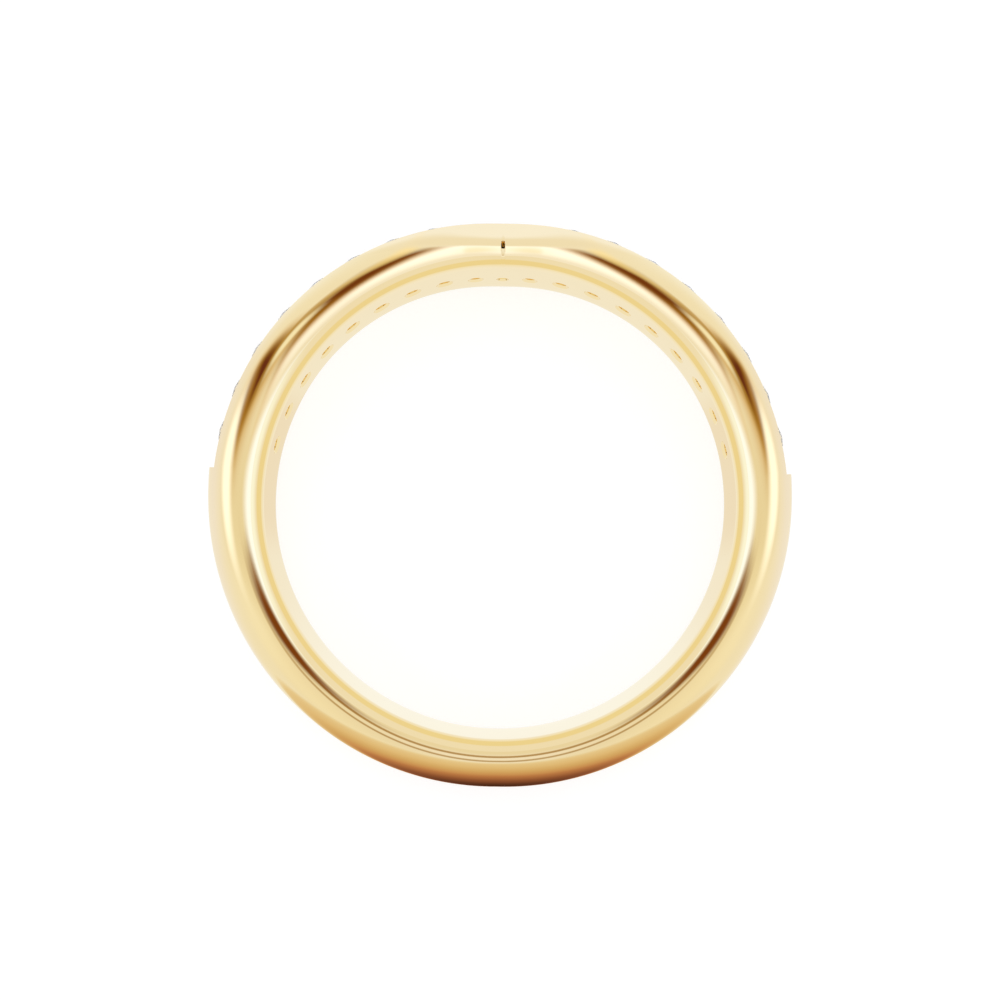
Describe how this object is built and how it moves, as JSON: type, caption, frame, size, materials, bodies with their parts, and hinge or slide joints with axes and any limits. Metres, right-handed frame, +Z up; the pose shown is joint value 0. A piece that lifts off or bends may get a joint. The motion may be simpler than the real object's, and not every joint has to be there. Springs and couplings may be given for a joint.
{
  "type": "wishbone ring",
  "caption": "Gold finger ring whose front dips to a point, with a row of round stones set in a channel along the dip.",
  "frame": {"origin": "on the surface that the ring lies on, under the middle of the ring's box", "axes": "+Z up from that surface, +Y from the back of the shank towards the wishbone's point, +X across the ring; the finger axis leans 2.90 degrees from +Z towards -Y, because the ring rests on its point and on the back of its shank"},
  "size_m": [0.0218, 0.0212, 0.0037],
  "materials": {
    "gold": "polished yellow gold",
    "stone": "faceted colourless stone"
  },
  "bodies": {
    "root": {"band": "gold", "stone_01": "stone", "stone_02": "stone", "stone_03": "stone", "stone_04": "stone", "stone_05": "stone", "stone_06": "stone", "stone_07": "stone", "stone_08": "stone", "stone_09": "stone", "stone_10": "stone", "stone_11": "stone", "stone_12": "stone", "stone_13": "stone", "stone_14": "stone", "stone_15": "stone", "stone_16": "stone", "stone_17": "stone", "stone_18": "stone", "stone_19": "stone"}
  },
  "joints": []
}
